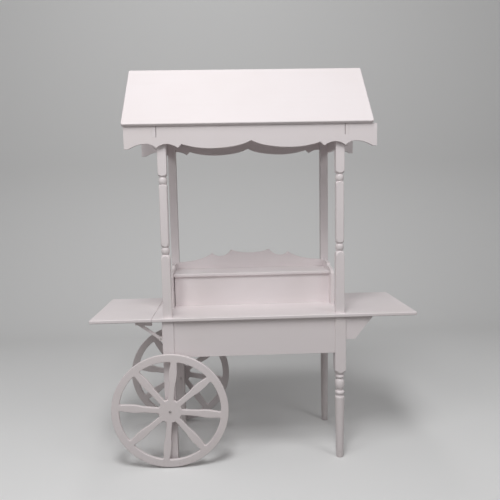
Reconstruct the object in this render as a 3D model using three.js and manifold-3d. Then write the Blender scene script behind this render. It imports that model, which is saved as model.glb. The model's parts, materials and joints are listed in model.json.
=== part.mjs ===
// Candy buffet cart: a painted timber table on two turned and two wheeled legs, with a folding
// end flap, a raised step at the back, four posts and a pitched board roof with scalloped valances.
// Millimetres, +X to the right of the front, +Y to the back, +Z up. The origin is on the floor,
// under the middle of the table.
import * as THREE from 'three';
import { mergeVertices } from 'three/addons/utils/BufferGeometryUtils.js';
import Module from 'manifold-3d';

// Sheet and timber stock
const boardThickness = 18;
const legSize = 57;
const postSize = 44;
const edgeRound = 3;
const smallEdgeRound = 1.2;
const fitGap = 0.3;
const cutOverrun = 4;

// Table
const tableHeight = 787;
const tableLength = 1676;
const tableDepth = 546;
const tableOverhang = 14.5;
const tableCornerRound = 6;
const seamGap = 1;

// Legs and apron: where the legs stand, and how far the seam lies from the left ones
const legEndInset = 394;
const seamReach = 80;
const apronDrop = 192;
const apronSetback = 6;
const legSquareBottom = 466;
const legTopDiameter = 53;
const legFootDiameter = 38;
const rearLegTopDiameter = 46;
const rearLegShoulder = 14;
const footRound = 5;

// Posts, from the table up
const lowerSquareLength = 309;
const lowerBeadLength = 55;
const shaftLength = 312;
const upperBeadLength = 93;
const shaftSize = 41;
const shaftCornerDiameter = 52;
const postRoofGap = 31;

// Raised step at the back of the table
const stepHeight = 183;
const stepDepth = 188;
const stepOverhang = 12;
const stepEndGap = 4;
const cheekReach = 65;
const cheekRise = 38;
const cheekNoseLength = 129;
const cheekNoseDrop = 19;
const cheekFrontDrop = 34;
const backBoardHeight = 272;

// Roof
const eaveAboveTable = 966;
const roofRise = 315;
const eaveOverhang = 16;
const roofLeftOverhang = 188;
const roofRightOverhang = 162;
const roofCornerRound = 12;
const ridgeGap = 0.4;
const ridgeRailWidth = 60;
const ridgeRailDepth = 22;

// Valances and gables
const valanceOverhang = 179;
const valanceDepth = 82;
const valanceDrop = 37;
const slotDepth = 52.6;
const slotPlay = 3;
const gableDepth = 105.6;

// Wheels and axles
const wheelRadius = 300;
const wheelFloorGap = 6;
const wheelRimWidth = 39;
const wheelHubRadius = 60;
const wheelFlapGap = 3;
const spokeCount = 8;
const spokeHubWidth = 31;
const spokeBellyWidth = 39;
const spokeRimWidth = 33;
const spokeFillet = 9;
const frontWheelTurn = THREE.MathUtils.degToRad(-6);
const rearWheelTurn = THREE.MathUtils.degToRad(-11);
const boltDiameter = 8;
const boltHeadDiameter = 14;
const boltHeadHeight = 4;
const boltRunningGap = 0.4;
const boltEndLength = 6;
const washerDiameter = 24;
const washerThickness = 2;
const spacerDiameter = 70;
const nutWidth = 13;
const nutHeight = 6.5;

// Flap hinges
const hingeLength = 64;
const hingeLeafWidth = 30;
const hingeLeafThickness = 2;
const hingeKnuckleRadius = 4;
const hingePinRadius = 1.6;
const hingeInset = 80;
const hingeCount = 3;

// Folding stays under the flap
const stayPivotDrop = 97;
const stayLength = 145;
const stayWidth = 16;
const stayThickness = 5;
const stayEyeRadius = 8.5;
const stayEyeGap = 1;
const stayPinRadius = 3;
const stayPinHeadRadius = 5;
const stayPinHeadHeight = 2;
const stayPlateWidth = 30;
const stayPlateHeight = 132;
const stayPlateThickness = 3;
const stayPlateTopDrop = 29;
const stayEarThickness = 2.5;
const stayEarMargin = 2.5;
const railStart = 4;
const railEndPlay = 3;
const railInnerDepth = 26;
const railOuterDepth = 20;
const railWall = 2.5;
const railPlay = 1;

// Fixed brackets under the other end
const bracketHeight = 122;
const bracketTopLength = 144;
const bracketFootLength = 49;

// Facets round a full turn, and steps along a curve
const turnedSides = 24;
const boltSides = 16;
const rimSides = 72;
const curveSteps = 5;
const filletSteps = 2;

// Worked out from the sizes above
const underTable = tableHeight - boardThickness;
const tableHalf = tableLength / 2;
const depthHalf = tableDepth / 2;
const legCentreX = tableHalf - legEndInset;
const legCentreY = depthHalf - tableOverhang - legSize / 2;
const legFaceX = legCentreX + legSize / 2;
const legFaceY = legCentreY + legSize / 2;
const postFaceX = legCentreX + postSize / 2;
const postFaceY = legCentreY + postSize / 2;
const postInnerX = legCentreX - postSize / 2;
const stepBackY = legCentreY - postSize / 2;
const apronBottom = underTable - apronDrop;
const seamX = -legCentreX - seamReach;
const hingeSpacing = legCentreY - hingeInset;
const lowerSquareTop = tableHeight + lowerSquareLength;
const shaftBottom = lowerSquareTop + lowerBeadLength;
const shaftTop = shaftBottom + shaftLength;
const upperSquareBottom = shaftTop + upperBeadLength;
const wheelInnerY = depthHalf + wheelFlapGap;
const axleHeight = wheelRadius + wheelFloorGap;
const roofEaveHeight = tableHeight + eaveAboveTable;
const roofRidgeHeight = roofEaveHeight + roofRise;
const roofHalfDepth = postFaceY + boardThickness + eaveOverhang;
const roofSlope = Math.atan2(roofRise, roofHalfDepth);
const roofSlopeLength = Math.hypot(roofRise, roofHalfDepth);
const roofUnderRidge = roofRidgeHeight - boardThickness / Math.cos(roofSlope);
const postTopHeight = roofUnderHeight(postFaceY) - postRoofGap;
const valanceTop = roofUnderHeight(postFaceY + boardThickness) - fitGap;
const valanceMiddleHeight = roofEaveHeight - valanceDepth;
const slotBottom = valanceTop - slotDepth;
const gableBottom = valanceTop - gableDepth;
const stepTop = tableHeight + stepHeight;
const stepFrontY = stepBackY - stepDepth;
const cheekInnerX = legCentreX - boardThickness / 2;
const stayPivotX = -legFaceX - stayPlateThickness - stayEyeRadius - stayEyeGap;
const stayPivotZ = underTable - stayPivotDrop;
const stayRise = stayPivotDrop - railWall - fitGap - stayWidth / 2;
const stayAngle = Math.asin(stayRise / stayLength);

const wasm = await Module();
wasm.setup();

const paint = { color: 0xe9e2e0, roughness: 0.42, metalness: 0 };
const shadedPaint = { color: 0xd9d2cf, roughness: 0.5, metalness: 0 };
const steel = { color: 0xa9a9a8, roughness: 0.38, metalness: 0.9 };
const darkSteel = { color: 0x6d6a69, roughness: 0.45, metalness: 0.8 };

const cart = new THREE.Group();

function roofUnderHeight(y) {
  return roofUnderRidge - Math.abs(y) * Math.tan(roofSlope);
}

// Adds one closed piece to a group under its own name.
function addPart(group, name, geometry, look) {
  const mesh = new THREE.Mesh(geometry, new THREE.MeshStandardMaterial(look));
  mesh.name = name;
  group.add(mesh);
  return mesh;
}

// Joining and cutting of closed solids.
function toSolid(geometry) {
  const bare = geometry.clone();
  bare.deleteAttribute('normal');
  bare.deleteAttribute('uv');
  const merged = mergeVertices(bare);
  const vertProperties = new Float32Array(merged.attributes.position.array);
  const triVerts = new Uint32Array(merged.index.array);
  return new wasm.Manifold(new wasm.Mesh({ numProp: 3, vertProperties, triVerts }));
}

function toGeometry(solid) {
  const mesh = solid.getMesh();
  const geometry = new THREE.BufferGeometry();
  geometry.setAttribute('position', new THREE.BufferAttribute(mesh.vertProperties, 3));
  geometry.setIndex(new THREE.BufferAttribute(mesh.triVerts, 1));
  return geometry;
}

function cut(geometry, tools) {
  let solid = toSolid(geometry);
  for (const tool of tools) {
    solid = solid.subtract(toSolid(tool));
  }
  return toGeometry(solid);
}

function join(geometries) {
  let solid = toSolid(geometries[0]);
  for (const geometry of geometries.slice(1)) {
    solid = solid.add(toSolid(geometry));
  }
  return toGeometry(solid);
}

// A block between two corners.
function block(x0, x1, y0, y1, z0, z1) {
  const geometry = new THREE.BoxGeometry(x1 - x0, y1 - y0, z1 - z0);
  geometry.translate((x0 + x1) / 2, (y0 + y1) / 2, (z0 + z1) / 2);
  return geometry;
}

// A round bar along Y from y0 to y1.
function barAlongY(radius, x, y0, y1, z, sides) {
  const geometry = new THREE.CylinderGeometry(radius, radius, y1 - y0, sides);
  geometry.translate(x, (y0 + y1) / 2, z);
  return geometry;
}

// A ring along Y from y0 to y1.
function ringAlongY(outer, inner, x, y0, y1, z, sides) {
  const hole = barAlongY(inner, x, y0 - cutOverrun, y1 + cutOverrun, z, sides);
  return cut(barAlongY(outer, x, y0, y1, z, sides), [hole]);
}

// A board cut to an outline, with its faces softened at the edges.
function cutBoard(outline, holes, thickness, round) {
  const shape = new THREE.Shape(outline);
  for (const hole of holes) {
    shape.holes.push(new THREE.Path(hole));
  }
  const settings = { depth: thickness, bevelEnabled: false, curveSegments: 1 };
  if (round > 0) {
    settings.depth = thickness - 2 * round;
    settings.bevelEnabled = true;
    settings.bevelThickness = round;
    settings.bevelSize = round;
    settings.bevelOffset = -round;
    settings.bevelSegments = 1;
  }
  const geometry = new THREE.ExtrudeGeometry(shape, settings);
  if (round > 0) {
    geometry.translate(0, 0, round);
  }
  return geometry;
}

// Stands a flat board up: its outline is then in X and Z, its thickness from y to y + thickness.
function standAcross(geometry, thickness, y) {
  geometry.rotateX(Math.PI / 2);
  geometry.translate(0, y + thickness, 0);
  return geometry;
}

// Stands a flat board up: its outline is then in Y and Z, its thickness from x to x + thickness.
function standAlong(geometry, x) {
  geometry.rotateX(Math.PI / 2);
  geometry.rotateZ(Math.PI / 2);
  geometry.translate(x, 0, 0);
  return geometry;
}

function point(x, y) {
  return new THREE.Vector2(x, y);
}

function arcPoints(x, y, radius, from, to, steps) {
  const points = [];
  for (let step = 0; step <= steps; step += 1) {
    const angle = from + (to - from) * step / steps;
    points.push(point(x + radius * Math.cos(angle), y + radius * Math.sin(angle)));
  }
  return points;
}

function bendPoints(from, control, to, steps) {
  const curve = new THREE.QuadraticBezierCurve(from, control, to);
  return curve.getPoints(steps);
}

// Drops points that repeat the one before them.
function tidyOutline(points) {
  const tidy = [];
  for (const next of points) {
    const last = tidy[tidy.length - 1];
    if (!last || last.distanceTo(next) > smallEdgeRound / 10) {
      tidy.push(next);
    }
  }
  if (tidy[0].distanceTo(tidy[tidy.length - 1]) < smallEdgeRound / 10) {
    tidy.pop();
  }
  return tidy;
}

// A rectangle with its chosen corners rounded: left low, right low, right high, left high.
function roundedRectangle(x0, x1, y0, y1, radii) {
  const quarter = Math.PI / 2;
  const corners = [
    [x0, y0, 1, 1, 2],
    [x1, y0, -1, 1, 3],
    [x1, y1, -1, -1, 0],
    [x0, y1, 1, -1, 1],
  ];
  const points = [];
  corners.forEach(([x, y, inX, inY, start], index) => {
    const radius = radii[index];
    if (radius > 0) {
      const first = start * quarter;
      const arc = arcPoints(x + inX * radius, y + inY * radius, radius, first, first + quarter, 4);
      points.push(...arc);
    } else {
      points.push(point(x, y));
    }
  });
  return tidyOutline(points);
}

// An edge given as curves in shares of a half length and a height, mirrored about the middle.
function mirroredEdge(curves, halfLength, height, baseline) {
  const right = [];
  for (const curve of curves) {
    const [from, control, to] = curve.map(([x, y]) => point(x * halfLength, baseline + y * height));
    right.push(...bendPoints(from, control, to, curveSteps));
  }
  const left = right.map((spot) => point(-spot.x, spot.y)).reverse();
  return tidyOutline([...left, ...right]);
}

// Legs

// The profile of the turned leg, from the foot up: radius and height.
function turnedLegProfile() {
  const foot = legFootDiameter / 2;
  const full = legTopDiameter / 2;
  const clear = legSize;
  const neckShare = 0.7;
  const ringHeight = legSquareBottom * 0.03;
  const collarTop = legSquareBottom * 0.727;
  const collarHeight = legSquareBottom * 0.047;
  const lowRing = collarTop + ringHeight * 1.25;
  const ballBottom = lowRing + ringHeight * 1.15;
  const ballTop = ballBottom + ringHeight * 3.75;
  const highRing = ballTop + ringHeight * 1.4;
  const cove = highRing + ringHeight * 0.9;
  return [
    point(0, 0),
    point(foot - footRound, 0),
    point(foot - footRound * 0.3, footRound * 0.3),
    point(foot, footRound),
    point(full * 0.97, collarTop - collarHeight),
    ...bendPoints(
      point(full, collarTop - collarHeight * 0.85),
      point(full * 1.04, collarTop - collarHeight * 0.3),
      point(full * 0.86, collarTop),
      3,
    ),
    point(full * 0.78, collarTop + ringHeight * 0.15),
    point(full * 0.78, lowRing - ringHeight * 0.45),
    ...bendPoints(
      point(full * 0.9, lowRing - ringHeight * 0.4),
      point(full * 1.1, lowRing + ringHeight * 0.1),
      point(full * 0.9, lowRing + ringHeight * 0.55),
      4,
    ),
    point(full * neckShare, lowRing + ringHeight * 0.7),
    point(full * neckShare, ballBottom),
    ...bendPoints(
      point(full * 0.86, ballBottom + ringHeight * 0.3),
      point(full * 1.14, (ballBottom + ballTop) / 2),
      point(full * 0.82, ballTop - ringHeight * 0.25),
      7,
    ),
    point(full * neckShare, ballTop),
    point(full * neckShare, highRing - ringHeight * 0.6),
    ...bendPoints(
      point(full * 0.86, highRing - ringHeight * 0.45),
      point(full * 1.08, highRing),
      point(full * 0.86, highRing + ringHeight * 0.45),
      3,
    ),
    point(full * 0.76, highRing + ringHeight * 0.5),
    ...bendPoints(
      point(full * 0.76, cove - ringHeight * 0.3),
      point(full * 1.12, cove - ringHeight * 0.2),
      point(full * 1.24, legSquareBottom + ringHeight * 0.6),
      5,
    ),
    point(clear, legSquareBottom + ringHeight * 1.8),
    point(clear, underTable),
    point(0, underTable),
  ];
}

// The plain rear leg: a square block behind the apron over a round taper.
function plainLegProfile() {
  const foot = legFootDiameter / 2;
  const clear = legSize;
  return [
    point(0, 0),
    point(foot - footRound, 0),
    point(foot - footRound * 0.3, footRound * 0.3),
    point(foot, footRound),
    point(rearLegTopDiameter / 2, apronBottom - rearLegShoulder * 1.6),
    point(legSize / 2, apronBottom - rearLegShoulder * 0.7),
    point(clear, apronBottom - rearLegShoulder * 0.1),
    point(clear, underTable),
    point(0, underTable),
  ];
}

// Turns a profile and squares it to the timber that it is cut from.
function squaredTurning(profile, blanks) {
  const turned = new THREE.LatheGeometry(profile, turnedSides);
  turned.rotateX(Math.PI / 2);
  return toGeometry(toSolid(turned).intersect(toSolid(join(blanks))));
}

function squareBlank(size, z0, z1) {
  return block(-size / 2, size / 2, -size / 2, size / 2, z0, z1);
}

function makeLegs() {
  const turned = squaredTurning(turnedLegProfile(), [squareBlank(legSize, 0, underTable)]);
  turned.translate(legCentreX, -legCentreY, 0);
  addPart(cart, 'leg_front_right', turned, paint);
  const plain = squaredTurning(plainLegProfile(), [squareBlank(legSize, 0, underTable)]);
  plain.translate(legCentreX, legCentreY, 0);
  addPart(cart, 'leg_rear_right', plain, shadedPaint);
  for (const [name, side] of [['leg_front_left', -1], ['leg_rear_left', 1]]) {
    const blank = squareBlank(legSize, 0, underTable);
    const bore = barAlongY(
      boltDiameter / 2 + boltRunningGap,
      0,
      -legSize / 2 - cutOverrun,
      legSize / 2 + cutOverrun,
      axleHeight,
      boltSides,
    );
    const leg = cut(blank, [bore]);
    leg.translate(-legCentreX, side * legCentreY, 0);
    addPart(cart, name, leg, side < 0 ? paint : shadedPaint);
  }
}

// Apron

function makeAprons() {
  const innerX = legCentreX - legSize / 2;
  const innerY = legCentreY - legSize / 2;
  const faceY = legFaceY - apronSetback;
  const faceX = legFaceX - apronSetback;
  for (const [name, side] of [['apron_front', -1], ['apron_rear', 1]]) {
    const near = Math.min(side * faceY, side * (faceY - boardThickness));
    const board = block(-innerX, innerX, near, near + boardThickness, apronBottom, underTable);
    addPart(cart, name, board, side < 0 ? paint : shadedPaint);
  }
  for (const [name, side] of [['apron_left', -1], ['apron_right', 1]]) {
    const near = Math.min(side * faceX, side * (faceX - boardThickness));
    const board = block(near, near + boardThickness, -innerY, innerY, apronBottom, underTable);
    addPart(cart, name, board, shadedPaint);
  }
}

// Table top and flap

function makeTable() {
  const round = tableCornerRound;
  const topOutline = roundedRectangle(
    seamX + seamGap / 2, tableHalf, -depthHalf, depthHalf, [0, round, round, 0],
  );
  const top = cutBoard(topOutline, [], boardThickness, edgeRound);
  top.translate(0, 0, underTable);
  addPart(cart, 'table_top', top, paint);
  const flapOutline = roundedRectangle(
    -tableHalf, seamX - seamGap / 2, -depthHalf, depthHalf, [round, 0, 0, round],
  );
  const flap = cutBoard(flapOutline, [], boardThickness, edgeRound);
  flap.translate(0, 0, underTable);
  addPart(cart, 'table_flap', flap, paint);
}

// Flap hinges: a leaf under the table, a leaf under the flap, and the pin that they turn on.

function hingeLeaf(side, y, knuckleSpans) {
  const axisZ = underTable - hingeKnuckleRadius - fitGap;
  const root = hingeKnuckleRadius + fitGap;
  const x0 = Math.min(side * root, side * hingeLeafWidth);
  const x1 = Math.max(side * root, side * hingeLeafWidth);
  const top = underTable - fitGap;
  const halfLength = hingeLength / 2;
  const pieces = [block(x0, x1, -halfLength, halfLength, top - hingeLeafThickness, top)];
  for (const [from, to] of knuckleSpans) {
    const tongueX0 = Math.min(0, side * (root + hingeLeafThickness));
    const tongueX1 = Math.max(0, side * (root + hingeLeafThickness));
    pieces.push(block(tongueX0, tongueX1, from, to, top - hingeLeafThickness, top));
    pieces.push(barAlongY(hingeKnuckleRadius, 0, from, to, axisZ, boltSides));
  }
  const bore = barAlongY(
    hingePinRadius + fitGap, 0, -halfLength - cutOverrun, halfLength + cutOverrun, axisZ, boltSides,
  );
  const leaf = cut(join(pieces), [bore]);
  leaf.translate(seamX, y, 0);
  return leaf;
}

function makeHinges() {
  const axisZ = underTable - hingeKnuckleRadius - fitGap;
  const halfLength = hingeLength / 2;
  const third = hingeLength / 3;
  const names = ['front', 'middle', 'rear'];
  for (let index = 0; index < hingeCount; index += 1) {
    const y = (index - (hingeCount - 1) / 2) * hingeSpacing;
    const outer = [
      [-halfLength, -halfLength + third - fitGap / 2],
      [halfLength - third + fitGap / 2, halfLength],
    ];
    const inner = [[-halfLength + third + fitGap / 2, halfLength - third - fitGap / 2]];
    const name = names[index];
    addPart(cart, `hinge_leaf_table_${name}`, hingeLeaf(1, y, outer), steel);
    addPart(cart, `hinge_leaf_flap_${name}`, hingeLeaf(-1, y, inner), steel);
    const pin = barAlongY(hingePinRadius, seamX, y - halfLength, y + halfLength, axisZ, boltSides);
    addPart(cart, `hinge_pin_${name}`, pin, darkSteel);
  }
}

// Folding stays: a plate with two ears on the leg, an arm that turns between them, and a tapered
// channel under the flap that takes the arm's end.

function stayPlate() {
  const plateTop = underTable - stayPlateTopDrop;
  const earRadius = stayEyeRadius + stayEarMargin;
  const halfWidth = stayPlateWidth / 2;
  const earInner = stayThickness / 2 + fitGap;
  const pieces = [
    block(
      -legFaceX - stayPlateThickness, -legFaceX, -halfWidth, halfWidth,
      plateTop - stayPlateHeight, plateTop,
    ),
  ];
  for (const side of [-1, 1]) {
    const near = Math.min(side * earInner, side * (earInner + stayEarThickness));
    const far = near + stayEarThickness;
    const root = -legFaceX - stayPlateThickness / 2;
    pieces.push(block(stayPivotX, root, near, far, stayPivotZ - earRadius, stayPivotZ + earRadius));
    pieces.push(barAlongY(earRadius, stayPivotX, near, far, stayPivotZ, boltSides));
  }
  const reach = stayEarThickness + earInner + cutOverrun;
  const bore = barAlongY(stayPinRadius + fitGap, stayPivotX, -reach, reach, stayPivotZ, boltSides);
  return cut(join(pieces), [bore]);
}

function stayArm() {
  const half = stayThickness / 2;
  const bar = block(0, stayLength, -half, half, -stayWidth / 2, stayWidth / 2);
  const eye = barAlongY(stayEyeRadius, 0, -half, half, 0, boltSides);
  const tip = barAlongY(stayWidth / 2, stayLength, -half, half, 0, boltSides);
  const bore = barAlongY(stayPinRadius + fitGap, 0, -stayThickness, stayThickness, 0, boltSides);
  const arm = cut(join([bar, eye, tip]), [bore]);
  arm.rotateY(Math.PI + stayAngle);
  arm.translate(stayPivotX, 0, stayPivotZ);
  return arm;
}

function stayPin() {
  const reach = stayThickness / 2 + fitGap + stayEarThickness + fitGap;
  const shank = barAlongY(stayPinRadius, stayPivotX, -reach, reach, stayPivotZ, boltSides);
  const heads = [-1, 1].map((side) => {
    const near = Math.min(side * reach, side * (reach + stayPinHeadHeight));
    return barAlongY(stayPinHeadRadius, stayPivotX, near, near + stayPinHeadHeight, stayPivotZ, boltSides);
  });
  return join([shank, ...heads]);
}

// The rail is a channel under the flap, deepest by the seam. The arm's end bears on its web.
function stayRail() {
  const innerX = seamX - railStart;
  const tipX = stayPivotX - stayLength * Math.cos(stayAngle) - stayWidth / 2;
  const outerX = tipX - railEndPlay;
  const width = stayThickness + 2 * (railPlay + railWall);
  const outline = [
    point(outerX, underTable - railOuterDepth),
    point(innerX, underTable - railInnerDepth),
    point(innerX, underTable),
    point(outerX, underTable),
  ];
  const channel = block(
    outerX - cutOverrun, innerX + cutOverrun,
    -stayThickness / 2 - railPlay, stayThickness / 2 + railPlay,
    underTable - railInnerDepth - cutOverrun, underTable - railWall,
  );
  return cut(standAcross(cutBoard(outline, [], width, 0), width, -width / 2), [channel]);
}

function makeStays() {
  for (const [name, side] of [['front', -1], ['rear', 1]]) {
    const y = side * legCentreY;
    const pieces = [
      [`stay_plate_${name}`, stayPlate(), paint],
      [`stay_arm_${name}`, stayArm(), paint],
      [`stay_pin_${name}`, stayPin(), steel],
      [`stay_rail_${name}`, stayRail(), paint],
    ];
    for (const [part, geometry, look] of pieces) {
      geometry.translate(0, y, 0);
      addPart(cart, part, geometry, look);
    }
  }
}

// Fixed brackets: boards with a slanted edge between the right legs and the table end.

function makeBrackets() {
  const outline = [
    point(legFaceX, underTable - bracketHeight),
    point(legFaceX + bracketFootLength, underTable - bracketHeight),
    point(legFaceX + bracketTopLength, underTable),
    point(legFaceX, underTable),
  ];
  const faceY = legFaceY - apronSetback;
  for (const [name, side] of [['bracket_right_front', -1], ['bracket_right_rear', 1]]) {
    const near = Math.min(side * faceY, side * (faceY - boardThickness));
    const board = standAcross(cutBoard(outline, [], boardThickness, 0), boardThickness, near);
    addPart(cart, name, board, side < 0 ? paint : shadedPaint);
  }
}

// Posts

// The profile of the turned post, from the table up: radius and height.
function turnedPostProfile() {
  const clear = postSize;
  const half = postSize / 2;
  const shaft = shaftCornerDiameter / 2;
  const bead = shaftSize / 2;
  const groove = bead * 0.82;
  const lowBeadHeight = shaftBottom - lowerSquareTop;
  const highBeadHeight = upperSquareBottom - shaftTop;
  return [
    point(0, tableHeight),
    point(clear, tableHeight),
    point(clear, lowerSquareTop - lowBeadHeight * 0.35),
    ...bendPoints(
      point(half * 1.24, lowerSquareTop - lowBeadHeight * 0.1),
      point(half * 1.1, lowerSquareTop + lowBeadHeight * 0.12),
      point(half * 0.94, lowerSquareTop + lowBeadHeight * 0.15),
      3,
    ),
    point(groove, lowerSquareTop + lowBeadHeight * 0.18),
    point(groove, lowerSquareTop + lowBeadHeight * 0.26),
    ...bendPoints(
      point(bead * 0.9, lowerSquareTop + lowBeadHeight * 0.3),
      point(bead * 1.1, lowerSquareTop + lowBeadHeight * 0.56),
      point(bead * 0.9, lowerSquareTop + lowBeadHeight * 0.82),
      5,
    ),
    point(groove, lowerSquareTop + lowBeadHeight * 0.86),
    point(groove, shaftBottom - lowBeadHeight * 0.04),
    ...bendPoints(
      point(bead * 0.96, shaftBottom),
      point(shaft * 0.98, shaftBottom + lowBeadHeight * 0.06),
      point(shaft, shaftBottom + lowBeadHeight * 0.4),
      4,
    ),
    ...bendPoints(
      point(shaft, shaftTop - highBeadHeight * 0.24),
      point(shaft * 0.98, shaftTop - highBeadHeight * 0.03),
      point(bead * 0.96, shaftTop),
      4,
    ),
    point(groove, shaftTop + highBeadHeight * 0.02),
    point(groove, shaftTop + highBeadHeight * 0.07),
    ...bendPoints(
      point(bead * 0.9, shaftTop + highBeadHeight * 0.09),
      point(bead * 1.1, shaftTop + highBeadHeight * 0.25),
      point(bead * 0.9, shaftTop + highBeadHeight * 0.41),
      5,
    ),
    point(groove, shaftTop + highBeadHeight * 0.43),
    point(groove, shaftTop + highBeadHeight * 0.49),
    ...bendPoints(
      point(bead * 0.95, shaftTop + highBeadHeight * 0.51),
      point(bead * 1.06, shaftTop + highBeadHeight * 0.7),
      point(half * 1.1, shaftTop + highBeadHeight * 0.86),
      5,
    ),
    point(half * 1.26, upperSquareBottom - highBeadHeight * 0.02),
    point(clear, upperSquareBottom + highBeadHeight * 0.1),
    point(clear, postTopHeight),
    point(0, postTopHeight),
  ];
}

function makePosts() {
  const blanks = [
    squareBlank(postSize, tableHeight, shaftBottom),
    squareBlank(shaftSize, shaftBottom, shaftTop),
    squareBlank(postSize, shaftTop, postTopHeight),
  ];
  for (const [name, side] of [['post_front_left', -1], ['post_front_right', 1]]) {
    const post = squaredTurning(turnedPostProfile(), blanks);
    post.translate(side * legCentreX, -legCentreY, 0);
    addPart(cart, name, post, paint);
  }
  for (const [name, side] of [['post_rear_left', -1], ['post_rear_right', 1]]) {
    const post = squareBlank(postSize, tableHeight, postTopHeight);
    post.translate(side * legCentreX, legCentreY, 0);
    addPart(cart, name, post, shadedPaint);
  }
}

// Raised step: two shaped cheeks, a front panel, a shelf, and a scalloped board behind them.

function cheekOutline() {
  const frontY = stepFrontY - cheekReach;
  const shoulderY = frontY + cheekNoseLength;
  const top = stepTop + cheekRise;
  const nose = top - cheekNoseDrop;
  const front = nose - cheekFrontDrop;
  return tidyOutline([
    point(frontY, tableHeight),
    point(stepBackY, tableHeight),
    point(stepBackY, top),
    ...bendPoints(
      point(shoulderY, top),
      point(shoulderY - cheekNoseDrop * 0.2, nose + cheekNoseDrop * 0.1),
      point(shoulderY - cheekNoseDrop, nose),
      4,
    ),
    ...bendPoints(
      point(shoulderY - cheekNoseDrop, nose),
      point(frontY, nose),
      point(frontY, front),
      8,
    ),
  ]);
}

// Curves of the board behind the step, from its middle to its end: start, control, end.
const backBoardShares = [
  [[0, 0], [0.16, 0], [0.268, 0.073]],
  [[0.268, 0.073], [0.33, -0.066], [0.427, -0.066]],
  [[0.427, -0.066], [0.49, -0.062], [0.535, 0.007]],
  [[0.535, 0.007], [0.6, -0.075], [0.74, -0.132]],
  [[0.74, -0.132], [0.86, -0.176], [1, -0.182]],
];

function makeStep() {
  const shelfFront = stepFrontY - stepOverhang;
  for (const [name, side] of [['cheek_left', -1], ['cheek_right', 1]]) {
    const board = cutBoard(cheekOutline(), [], boardThickness, smallEdgeRound);
    const cheek = standAlong(board, side * legCentreX - boardThickness / 2);
    addPart(cart, name, cheek, paint);
  }
  const panel = block(
    -cheekInnerX + stepEndGap, cheekInnerX, stepFrontY, stepFrontY + boardThickness,
    tableHeight, stepTop - boardThickness,
  );
  addPart(cart, 'step_front', panel, paint);
  const shelfOutline = roundedRectangle(-cheekInnerX, cheekInnerX, shelfFront, stepBackY, [0, 0, 0, 0]);
  const shelf = cutBoard(shelfOutline, [], boardThickness, edgeRound);
  shelf.translate(0, 0, stepTop - boardThickness);
  addPart(cart, 'step_shelf', shelf, paint);
  const middle = tableHeight + backBoardHeight;
  const edge = mirroredEdge(backBoardShares, postInnerX, backBoardHeight, middle);
  const outline = [...edge, point(postInnerX, tableHeight), point(-postInnerX, tableHeight)];
  const board = cutBoard(outline, [], boardThickness, smallEdgeRound);
  addPart(cart, 'back_board', standAcross(board, boardThickness, stepBackY), paint);
}

// Valances and gables

// Curves of the valance's lower edge, from its middle to its end: start, control, end.
const valanceShares = [
  [[0, 0], [0.09, -0.92], [0.31, -1]],
  [[0.31, -1], [0.44, -0.98], [0.55, -0.38]],
  [[0.55, -0.38], [0.562, -0.6], [0.58, -0.86]],
  [[0.58, -0.86], [0.625, -0.36], [0.665, -0.34]],
  [[0.665, -0.34], [0.715, -0.36], [0.75, -0.86]],
  [[0.75, -0.86], [0.782, -0.32], [0.825, -0.28]],
  [[0.825, -0.28], [0.9, -0.28], [0.965, -0.97]],
];

function makeValances() {
  const half = legCentreX + valanceOverhang;
  const edge = mirroredEdge(valanceShares, half, valanceDrop, valanceMiddleHeight);
  const low = valanceMiddleHeight - valanceDrop;
  const outline = [
    ...edge, point(half, low), point(half, valanceTop), point(-half, valanceTop), point(-half, low),
  ];
  for (const [name, side] of [['valance_front', -1], ['valance_rear', 1]]) {
    const near = Math.min(side * postFaceY, side * (postFaceY + boardThickness));
    const board = standAcross(cutBoard(outline, [], boardThickness, smallEdgeRound), boardThickness, near);
    const slots = [-1, 1].map((end) => {
      const inner = end * (postFaceX - slotPlay);
      const outer = end * (postFaceX + boardThickness + fitGap);
      return block(
        Math.min(inner, outer), Math.max(inner, outer),
        near - cutOverrun, near + boardThickness + cutOverrun,
        slotBottom, valanceTop + cutOverrun,
      );
    });
    addPart(cart, name, cut(board, slots), side < 0 ? paint : shadedPaint);
  }
}

function makeGables() {
  const inner = postFaceY;
  const outer = postFaceY + boardThickness;
  const outline = [
    point(-inner, gableBottom),
    point(inner, gableBottom),
    point(inner, slotBottom),
    point(outer, slotBottom),
    point(outer, roofUnderHeight(outer) - fitGap),
    point(0, roofUnderHeight(0) - fitGap),
    point(-outer, roofUnderHeight(outer) - fitGap),
    point(-outer, slotBottom),
    point(-inner, slotBottom),
  ];
  for (const [name, x] of [['gable_left', -postFaceX - boardThickness], ['gable_right', postFaceX]]) {
    const board = standAlong(cutBoard(outline, [], boardThickness, 0), x);
    addPart(cart, name, board, shadedPaint);
  }
}

// Roof: two boards that meet in a plumb mitre at the ridge, over a rail between the gables.

function roofPanel(side) {
  const left = -legCentreX - roofLeftOverhang;
  const right = legCentreX + roofRightOverhang;
  const round = roofCornerRound;
  const outline = roundedRectangle(
    left, right, 0, roofSlopeLength + boardThickness, [round, round, 0, 0],
  );
  const board = cutBoard(outline, [], boardThickness, edgeRound);
  board.translate(0, 0, -boardThickness);
  board.rotateX(roofSlope);
  board.translate(0, -roofHalfDepth, roofEaveHeight);
  const beyond = block(
    left - cutOverrun, right + cutOverrun,
    -ridgeGap / 2, roofHalfDepth,
    tableHeight, roofRidgeHeight + boardThickness * 2,
  );
  const panel = cut(board, [beyond]);
  if (side > 0) {
    panel.rotateZ(Math.PI);
    panel.translate(left + right, 0, 0);
  }
  return panel;
}

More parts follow.
